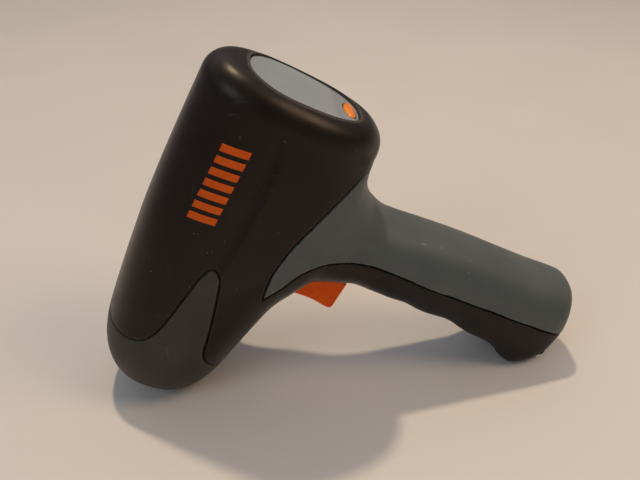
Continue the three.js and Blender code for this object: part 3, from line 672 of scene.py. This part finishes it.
MATERIALS = {
    "casing": moulded(
        "casing", (0.0062, 0.0040, 0.0034), (0.0098, 0.0070, 0.0060), 0.33, 0.42, 0.02,
        dust=0.5, level=0.28, scuff=True, tint=(1, 0.84, 0.70),
    ),
    "nose": moulded(
        "nose", (0.033, 0.028, 0.021), (0.045, 0.039, 0.030), 0.46, 0.38, 0.03,
        dust=0.25, level=0.3, scuff=True,
    ),
    "panel": moulded(
        "panel", (0.064, 0.078, 0.078), (0.085, 0.098, 0.094), 0.52, 0.5, 0.035, sheen=0.12, level=0.35,
    ),
    "rubber": moulded(
        "rubber", (0.0062, 0.0042, 0.0034), (0.0105, 0.0078, 0.0064), 0.46, 0.45, 0.04,
        dust=0.2, level=0.25,
    ),
    "signal": moulded(
        "signal", (0.90, 0.080, 0.0), (0.98, 0.11, 0.0), 0.42, 0.6, 0.015, scratch=0.02, level=0.15,
    ),
    "button": moulded(
        "button", (0.80, 0.20, 0.008), (0.88, 0.26, 0.014), 0.3, 0.6, 0.01, scratch=0.04, coat=0.15,
    ),
    "mark": moulded(
        "mark", (0.66, 0.085, 0.002), (0.76, 0.12, 0.004), 0.5, 0.5, 0.01, scratch=0.5, level=0.2,
    ),
    "inner_plastic": moulded(
        "inner_plastic", (0.016, 0.016, 0.018), (0.03, 0.03, 0.032), 0.5, 0.5, 0.03,
    ),
    "lcd": moulded("lcd", (0.24, 0.27, 0.2), (0.3, 0.33, 0.25), 0.12, 1.5, 0.004, scratch=0.02),
    "diffuser": moulded(
        "diffuser", (0.66, 0.65, 0.6), (0.76, 0.75, 0.7), 0.45, 0.8, 0.02, scratch=0.1,
    ),
    "circuit_board": board_material(),
    "window": window_material(),
    "cast_alloy": metal_material("cast_alloy", (0.62, 0.61, 0.59), 0.42),
    "screw_steel": metal_material("screw_steel", (0.15, 0.145, 0.14), 0.36, (0.2, 1, 1)),
    "cell": cell_material(),
}


def place(obj, body, slot, *nodes):
    """Rides on its body, wears its slot's finish and stands for these CAD nodes."""
    obj.data.materials.clear()
    obj.data.materials.append(MATERIALS[slot])
    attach(obj, body)
    if nodes:
        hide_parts(*nodes)
    return obj


# ---- the casing ---------------------------------------------------------------------------------------

# Grid steps.
COARSE = 0.66
SHELL_STEP = max(COARSE, 0.74)
STRAP_STEP = min(COARSE, 0.9) * 0.85
FINE = 0.36
DOOR_STEP = 0.36
BUTTON_STEP = 0.25

# Thicknesses.
PANEL = 1.6
STRAP = 2
SHELL_WALL = 3.2
NOSE_WALL = 3
DOOR_PLATE = 2.3

# Steps, edges and gaps.
UNDERCUT = 1.95  # how far the shells step in under the panels and the strap
UNDERLAP = 1  # the undercut goes on this far past the panel's edge
NOSE_UNDERCUT = 1.45  # the same under the nose cap's lip
NOSE_UNDERLAP = 1.8
ROUNDED = 0.45  # edge radius of the nose cap, the panels, the strap and the door
SHELL_ROUNDED = 0.4
GAP = 0.3  # round the lugs
WINDOW_GAP = 0.25
WINDOW_HOLE_DEPTH = 12
LIP_HEIGHT = 0.15  # of the raised lip round the window
LIP_WIDTH = 2
LIP_HIGHLIGHT = 4  # well past 1, which is what paints the pale highlight on the lip
BARREL_END = 131  # where the shells' grid ends, inside the nose cap

# The screws that show on the right side, in (x, z), and the bores that their heads sit in.
SCREWS = [(24, -12), (24, -64), (70, -11), (112, -16), (112, -58)]
SCREW_SINK = 2  # from the side to the head
SCREW_SEAT = 2.2  # from the head to the bore's floor
BORE_RADIUS = 3.1
BOSS_RADIUS = 4.4
BOSS_DEPTH = 8


def near(distance, reach):
    """1 on a line, falling to 0 at `reach` from it."""
    return np.clip(1 - np.abs(distance) / reach, 0, 1)


def side_at(x, z):
    """Half the gun's width at (x, z) on the barrel's side."""
    top, bottom = barrel_top(x), barrel_bottom(x)
    up = np.abs((z - (top + bottom) / 2) / ((top - bottom) / 2))
    return barrel_half(x) * (1 - np.minimum(up, 1) ** BARREL_POWER) ** (1 / BARREL_POWER)


def door_room(grid):
    """What the shells, the panels and the strap leave out for the battery door and its hinge."""
    top, bead_radius = -192, 2.3
    hole = np.maximum(grid.flat_distance(door_outline(), (0, 1)), grid.z - top)
    bead = np.maximum(rod_field(grid, *DOOR_PIVOT, bead_radius, (0, 2)), np.abs(grid.y) - DOOR_HALF_WIDTH)
    return np.minimum(hole, bead) - SEAM


def lug_field(grid, margin=0.0):
    """The two lugs under the toe that hold the door's pin."""
    ring_radius, lug_at, half_width = 2, 6.7, 1.1
    x, z = DOOR_PIVOT
    corners = [(0.6, -1.8), (2, 0), (6.5, 5), (3, 7.5), (-1, 1.5)]
    arm = grid.flat_distance([(x + u, z + v) for u, v in corners], (0, 2))
    ring = rod_field(grid, x, z, ring_radius + margin, (0, 2))
    across = np.abs(np.abs(grid.y) - lug_at) - half_width - margin
    return np.maximum(np.minimum(arm, ring) - margin, across)


def shell(grid, outer, nose, panel, strap, window, side):
    """One half of the body: a wall that steps in under the panel, the strap and the nose cap."""
    skin_only = np.maximum(meet(outer, SEAM - panel, SHELL_ROUNDED), HAIRLINE - strap)
    core = np.maximum(outer + UNDERCUT, np.minimum(panel, strap) - UNDERLAP)
    wall = np.minimum(skin_only, core)
    nose_room = np.maximum(nose - NOSE_UNDERLAP, outer + NOSE_UNDERCUT)
    wall = np.maximum(meet(wall, SEAM - nose, SHELL_ROUNDED), -nose_room)
    inside = -(outer + SHELL_WALL)
    if side < 0:
        for x, z in SCREWS:
            boss = np.maximum(rod_field(grid, x, z, BOSS_RADIUS, (0, 2)), outer + 1)
            boss = np.maximum(boss, -(outer + BOSS_DEPTH))
            wall = np.minimum(np.maximum(wall, inside), boss)
        for x, z in SCREWS:
            floor = side_at(x, z) - SCREW_SINK - SCREW_SEAT
            bore = np.maximum(rod_field(grid, x, z, BORE_RADIUS, (0, 2)), floor - np.abs(grid.y))
            wall = meet(wall, -bore, 0.3)
    else:
        wall = np.maximum(wall, inside)
    wall = np.maximum(wall, -np.maximum(window, grid.x - WINDOW_HOLE_DEPTH))
    trigger_slot = box_field(grid, (58, -5.9, -101.5), (92.6, 5.9, -60), 1.0)
    wall = meet(wall, -trigger_slot, 0.5)
    wall = np.maximum(wall, -door_room(grid))
    return np.minimum(wall, np.maximum(lug_field(grid), outer + 0.1))


def build_casing():
    """The two halves of the body, and the panel's two halves over them."""
    grids = {
        1: Grid((-3, -2, -210), (BARREL_END, 33, 3), SHELL_STEP),
        -1: Grid((-3, -33, -210), (BARREL_END, 2, 3), SHELL_STEP),
    }
    for side, label in ((1, "left"), (-1, "right")):
        grid = grids[side]
        outer = outer_field(grid)
        nose = grid.flat_distance(NOSE_OUTLINE, (0, 2))
        panel = grid.flat_distance(PANEL_OUTLINE, (0, 2))
        strap = grid.flat_distance(STRAP_OUTLINE, (0, 2))
        window = grid.flat_distance(window_outline(WINDOW_GAP), (1, 2))
        rim = near(window, LIP_WIDTH) * (grid.x < 6)
        seams = near(np.minimum(np.abs(nose), np.abs(panel)), 1.4)
        # Wear along the nose and panel seams, and a painted pale highlight along the window's lip.
        wear_and_lip_highlight = np.maximum(seams, LIP_HIGHLIGHT * rim)
        raised = outer - LIP_HEIGHT * rim
        field = shell(grid, raised, nose, panel, strap, window, side)
        edges = ((outer, HAIRLINE - strap), (raised, window))
        body = half(skin(f"shell_{label}", grid, field, wear_and_lip_highlight, edges), side)
        place(body, "gun_body", "casing", f"body_shell_{label}")
        field = np.maximum(meet(outer, panel + SEAM, ROUNDED), -(outer + PANEL))
        field = np.maximum(field, -door_room(grid))
        cover = half(skin(f"panel_{label}", grid, field, near(panel, 1.6)), side)
        place(cover, "gun_body", "panel", f"grip_panel_{label}")


def build_nose():
    """The nose cap, worn flat where it meets the table, with a lip that closes the seam behind it."""
    grid = Grid((72, -33, -70), (159, 33, 2), COARSE)
    outer = outer_field(grid)
    nose = grid.flat_distance(NOSE_OUTLINE, (0, 2))
    field = meet(outer, nose + SEAM, ROUNDED)
    field = meet(field, table_field(grid), 0.3)
    lip = np.maximum(outer + 1.7, nose - 1.5)
    field = np.maximum(np.minimum(field, lip), -(barrel_field(grid) + NOSE_WALL))
    place(skin("nose_skin", grid, field, near(nose, 1.6)), "gun_body", "nose", "nose_cap")


def build_strap():
    """The rubber strip down the front of the grip, notched at the toe for the door's hinge."""
    grid = Grid((36, -22, -209), (84, 22, -100), STRAP_STEP)
    outer = outer_field(grid)
    panel = grid.flat_distance(PANEL_OUTLINE, (0, 2))
    field = np.maximum(meet(outer, SEAM - panel, ROUNDED), SEAM + STRAP_REAR - grid.x)
    field = np.maximum(meet(field, table_field(grid), 0.3), -(outer + STRAP))
    field = np.maximum(field, -door_room(grid))
    x, z = DOOR_PIVOT
    notch = np.maximum(rod_field(grid, x, z, 5, (0, 2)), grid.z - (z - 0.2))
    notch = np.maximum(np.maximum(notch, x - grid.x), np.abs(grid.y) - 15)
    field = np.maximum(np.maximum(field, -notch), -lug_field(grid, GAP))
    top = to_row((0, 0, STRAP_TOP - HAIRLINE))
    strip = cut_flat(skin("strap_skin", grid, field, near(panel, 1.5)), top, UP)
    place(strip, "gun_body", "rubber", "front_strap")


def build_door():
    """The battery door: a plate with grip grooves, a snap tab and a bead round its hinge pin."""
    grid = Grid((35, -17, -209), (70, 17, -195), DOOR_STEP)
    outer = outer_field(grid)
    hole = grid.flat_distance(door_outline(), (0, 1))
    plate = np.maximum(meet(outer, hole + 0.1, ROUNDED), -(outer + DOOR_PLATE))
    plate = np.maximum(plate, grid.z + 197.8)
    bead_ends = np.abs(grid.y) - (DOOR_HALF_WIDTH - 0.1)
    bead = meet(rod_field(grid, *DOOR_PIVOT, 2.25, (0, 2)), bead_ends, 0.3)
    door = blend(plate, bead, 0.6)
    tab = np.maximum(box_field(grid, (39.6, -4, -204), (41, 4, -198), 0.3), outer + 1)
    door = np.minimum(door, tab)
    thumb = np.maximum(rod_field(grid, 41.2, -204.3, 2.2, (0, 2)), np.abs(grid.y) - 7)
    door = meet(door, -thumb, 0.3)
    for x in (46.5, 49.5, 52.5, 55.5):
        groove = np.maximum(np.hypot(grid.x - x, outer) - 0.7, np.abs(grid.y) - 6.5)
        door = meet(door, -groove, 0.25)
    pin_radius = 1.15
    door = np.maximum(door, -lug_field(grid, GAP))
    door = np.maximum(door, -rod_field(grid, *DOOR_PIVOT, pin_radius, (0, 2)))
    place(skin("door_skin", grid, door, near(hole, 1.2)), "battery_door", "casing", "battery_door")


# ---- window, button and trigger -----------------------------------------------------------------------


def build_display():
    """The window pane: set in from the rear face, slightly dished, with a hole for the button."""
    depth, dish, dish_width, back = 0.8, 0.35, 14, 3.4
    grid = Grid((-1, -22, -66), (10, 22, -13), FINE)
    outline = grid.flat_distance(window_outline(), (1, 2))
    hole = grid.flat_distance(button_outline(0.4), (1, 2))
    front = depth - dish * (1 - np.clip(-outline / dish_width, 0, 1)) ** 2 + dish
    field = meet(meet(outline, front - grid.x, 0.3), grid.x - back, 0.2)
    field = meet(field, -hole, 0.2)
    place(skin("window_pane", grid, field, near(outline, 1)), "gun_body", "window", "display_window")


def build_button():
    """The power button: a domed cap, a flange behind the window and a stem to the switch."""
    grid = Grid((-1, -11, -66), (9, 11, -52), BUTTON_STEP)
    outline = grid.flat_distance(button_outline(), (1, 2))
    crown = -0.05 + 0.9 * (1 - np.clip(-outline / 2.8, 0, 1)) ** 2
    cap = meet(meet(outline, crown - grid.x, 0.5), grid.x - 4.6, 0.1)
    flange = np.maximum(outline - 0.9, np.abs(grid.x - 4.2) - 0.5)
    stem = np.maximum(rod_field(grid, 0, BUTTON_Z, 1.6, (1, 2)), np.abs(grid.x - 6) - 2)
    field = np.minimum(np.minimum(cap, flange), stem)
    place(skin("button_cap", grid, field, near(outline, 0.8)), "power_button", "button", "power_button")


def trigger_outline():
    """In (x, z): the blade's foot, its rounded toe, its curved face, its top and its rear."""
    foot = [(74, -98.6), (87.4, -98.6)]
    toe = [(88.8, -98.2), (89.45, -97), (89.3, -95.4)]
    face = spline([(89.1, -93.6), (88.1, -88), (87.9, -82), (88.4, -76)])
    rear = spline([(77, -69.4), (74.9, -79), (73.8, -89), (73.2, -97.8)])
    return [*foot, *toe, *face, (87.2, -69.4), *rear]


def build_trigger():
    """The trigger: a blade with fine ribs on its face, and a neck and hub round its pin."""
    blade_half, hub_half, hub_radius, bore_radius = 5.2, 2.9, 4.4, 1.8
    rib_height, rib_pitch, rib_half = 0.14, 2.4, 4.4
    grid = Grid((71, -7.5, -101), (92, 7.5, -58), FINE)
    x, z = TRIGGER_PIVOT
    sides = np.abs(grid.y) - blade_half
    blade = meet(grid.flat_distance(trigger_outline(), (0, 2)), sides, 1.5)
    ribs = rib_height * np.clip(np.cos((grid.z + 84) / rib_pitch * 2 * np.pi), 0, 1)
    ribs = ribs * np.clip((grid.x - 86) / 1.5, 0, 1)
    blade = blade + ribs * np.clip(1 - np.abs(grid.y) / rib_half, 0, 1)
    hub = np.maximum(rod_field(grid, x, z, hub_radius, (0, 2)), np.abs(grid.y) - hub_half)
    neck = box_field(grid, (78.4, -hub_half, -71), (86.6, hub_half, z), 0.3)
    field = blend(blade, np.minimum(hub, neck), 1.0)
    field = np.maximum(field, -rod_field(grid, x, z, bore_radius, (0, 2)))
    place(skin("trigger_blade", grid, field, near(sides, 1.2)), "trigger", "signal", "trigger")


def build_marks():
    """A row of slanted orange bars printed along each side of the barrel."""
    bars, first, pitch, width = 7, 24.5, 5.1, 3.1
    foot, height, slant, proud = -26.6, 10.8, 0.2, 0.06
    across, up = 5, 12
    points, faces = [], []
    for bar in range(bars):
        start = first + pitch * bar
        for i in range(across):
            for j in range(up):
                z = foot + height * j / (up - 1)
                x = start + width * i / (across - 1) + slant * (z + 20)
                points.append((x, float(side_at(x, z)) + proud, z))
        base = bar * across * up
        for i in range(across - 1):
            for j in range(up - 1):
                a = base + i * up + j
                faces.append((a, a + 1, a + up + 1, a + up))
    points, faces = np.array(points), np.array(faces)
    for label, side in (("left", 1), ("right", -1)):
        turned = faces if side > 0 else faces[:, ::-1]
        obj = mesh_object(f"side_mark_{label}", to_row(points * (1, side, 1)), turned)
        thick = obj.modifiers.new("print", "SOLIDIFY")
        thick.thickness = 0.00012
        thick.offset = 0
        place(obj, "gun_body", "mark")


build_casing()
build_nose()
build_strap()
build_door()
build_display()
build_button()
build_trigger()
build_marks()

# ---- what keeps its CAD mesh --------------------------------------------------------------------------

SLOT_OF = {part["node"]: part["material_slot"] for part in frame["record"]["subparts"]}
for node_name, node in frame["nodes"].items():
    if not node.hide_render:
        node.data.materials.clear()
        node.data.materials.append(MATERIALS[SLOT_OF[node_name]])

# ---- floor, light and camera --------------------------------------------------------------------------


def floor_material():
    """Pale, faintly mottled board."""
    n = Nodes("floor")
    tone = n.remap(n.noise(400, 3), 0.3, 0.7)
    color = n.mix(tone, (0.66, 0.61, 0.56), (0.71, 0.66, 0.62))
    return n.finish(color, n.remap(n.noise(60, 3), 0.3, 0.7, 0.5, 0.62), n.bump(n.noise(3, 3), 0.05, 0.4))


def build_floor():
    """A round sheet, level under the gun, that sweeps up far from it on every side."""
    level, sweep, top, around = 2, 0.8, 1.5, 96
    turns = np.linspace(0, math.pi / 2, 14)
    swept = [(level + sweep * math.sin(a), sweep - sweep * math.cos(a)) for a in turns]
    profile = [(0.3, 0), (1, 0), *swept, (level + sweep, top)]
    points = [(0, 0, 0)]
    for radius, height in profile:
        for i in range(around):
            angle = 2 * math.pi * i / around
            points.append((radius * math.cos(angle), radius * math.sin(angle), height))
    faces = []
    for i in range(around):
        beside = (i + 1) % around
        faces.append((0, 1 + i, 1 + beside))
        for ring in range(len(profile) - 1):
            a, b = 1 + ring * around, 1 + (ring + 1) * around
            faces.append((a + i, b + i, b + beside, a + beside))
    mesh = bpy.data.meshes.new("floor")
    mesh.from_pydata(points, [], faces)
    for polygon in mesh.polygons:
        polygon.use_smooth = True
    floor = bpy.data.objects.new("floor", mesh)
    bpy.context.scene.collection.objects.link(floor)
    mesh.materials.append(floor_material())


LIGHT_AIM = Vector((0, 0, 0.06))
LENS = 39.07  # the photograph's, in millimetres on a 36 mm sensor
HEADING, PITCH = 0.100175, 0.585581  # radians to the right of +Y, and down
CAMERA_AT = (-0.03624, -0.254972, 0.238172)


def area_light(name, direction, distance, size, power, color):
    """A soft round light that faces the gun from a direction."""
    light = bpy.data.lights.new(name, "AREA")
    light.shape = "DISK"
    light.size = size
    light.energy = power
    light.color = color
    obj = bpy.data.objects.new(name, light)
    away = Vector(direction).normalized()
    obj.location = LIGHT_AIM + away * distance
    obj.rotation_euler = (-away).to_track_quat("-Z", "Y").to_euler()
    bpy.context.scene.collection.objects.link(obj)


def build_light():
    """A room that is paler behind the gun than in front of it, a warm lamp above, a warm glow from the
    right and a cool window at the left."""
    world = bpy.data.worlds.new("studio")
    world.use_nodes = True
    tree = world.node_tree
    coordinates = tree.nodes.new("ShaderNodeTexCoord")
    split = tree.nodes.new("ShaderNodeSeparateXYZ")
    ramp = tree.nodes.new("ShaderNodeValToRGB")
    scaled = tree.nodes.new("ShaderNodeMath")
    scaled.operation = "MULTIPLY_ADD"
    scaled.inputs[1].default_value = 0.5
    scaled.inputs[2].default_value = 0.5
    tree.links.new(coordinates.outputs["Generated"], split.inputs["Vector"])
    tree.links.new(split.outputs["Y"], scaled.inputs[0])
    tree.links.new(scaled.outputs[0], ramp.inputs["Fac"])
    tree.links.new(ramp.outputs["Color"], tree.nodes["Background"].inputs["Color"])
    front, back = ramp.color_ramp.elements
    front.position, front.color = 0.1, (0.17, 0.18, 0.205, 1)
    back.position, back.color = 0.85, (0.60, 0.62, 0.69, 1)
    tree.nodes["Background"].inputs["Strength"].default_value = 0.8
    bpy.context.scene.world = world
    area_light("lamp", (-0.05, 0.32, 0.94), 1.5, 0.09, 9.5, (1, 0.81, 0.58))
    area_light("glow", (0.62, -0.22, 0.74), 1.1, 0.5, 3.6, (1, 0.76, 0.52))
    area_light("window", (-0.6, -0.5, 0.6), 1.4, 0.7, 2.6, (0.72, 0.88, 1))


def build_camera():
    """The photograph's place, heading, pitch and lens."""
    data = bpy.data.cameras.new("camera")
    data.sensor_width = 36
    data.lens = LENS
    data.clip_start = 0.01
    camera = bpy.data.objects.new("camera", data)
    level = math.cos(PITCH)
    ahead = Vector((math.sin(HEADING) * level, math.cos(HEADING) * level, -math.sin(PITCH)))
    camera.location = CAMERA_AT
    camera.rotation_euler = ahead.to_track_quat("-Z", "Y").to_euler()
    bpy.context.scene.collection.objects.link(camera)
    bpy.context.scene.camera = camera


build_floor()
build_light()
build_camera()
bpy.context.scene.view_settings.view_transform = "Standard"
